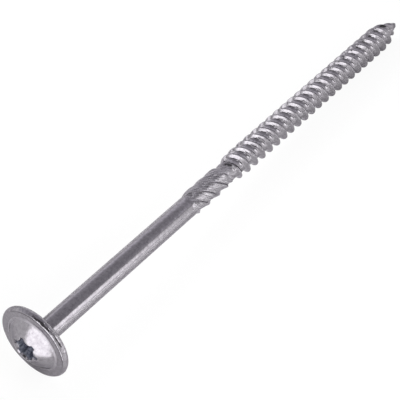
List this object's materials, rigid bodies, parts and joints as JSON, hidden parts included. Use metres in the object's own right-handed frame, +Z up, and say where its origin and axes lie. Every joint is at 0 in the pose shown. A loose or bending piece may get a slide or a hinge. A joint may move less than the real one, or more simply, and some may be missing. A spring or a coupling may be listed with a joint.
{
  "type": "washer head wood screw",
  "caption": "Long zinc-plated wood screw with a wide washer head, six-lobe drive recess, plain shank, spiral-ribbed cutter and coarse thread to the point, lying on its side.",
  "frame": {"origin": "centre of the flat bearing face under the washer head, on the screw's axis", "axes": "+X runs toward the point, level, below it the axis drops by 2.3 degrees; +Z up; the floor the screw lies on is 10 mm below the origin"},
  "size_m": [0.1646, 0.02, 0.02],
  "materials": {
    "zinc_plated_steel": "bright zinc plate on cold-formed steel, smooth and slightly cloudy"
  },
  "bodies": {
    "root": {"screw": "zinc_plated_steel"}
  },
  "joints": []
}
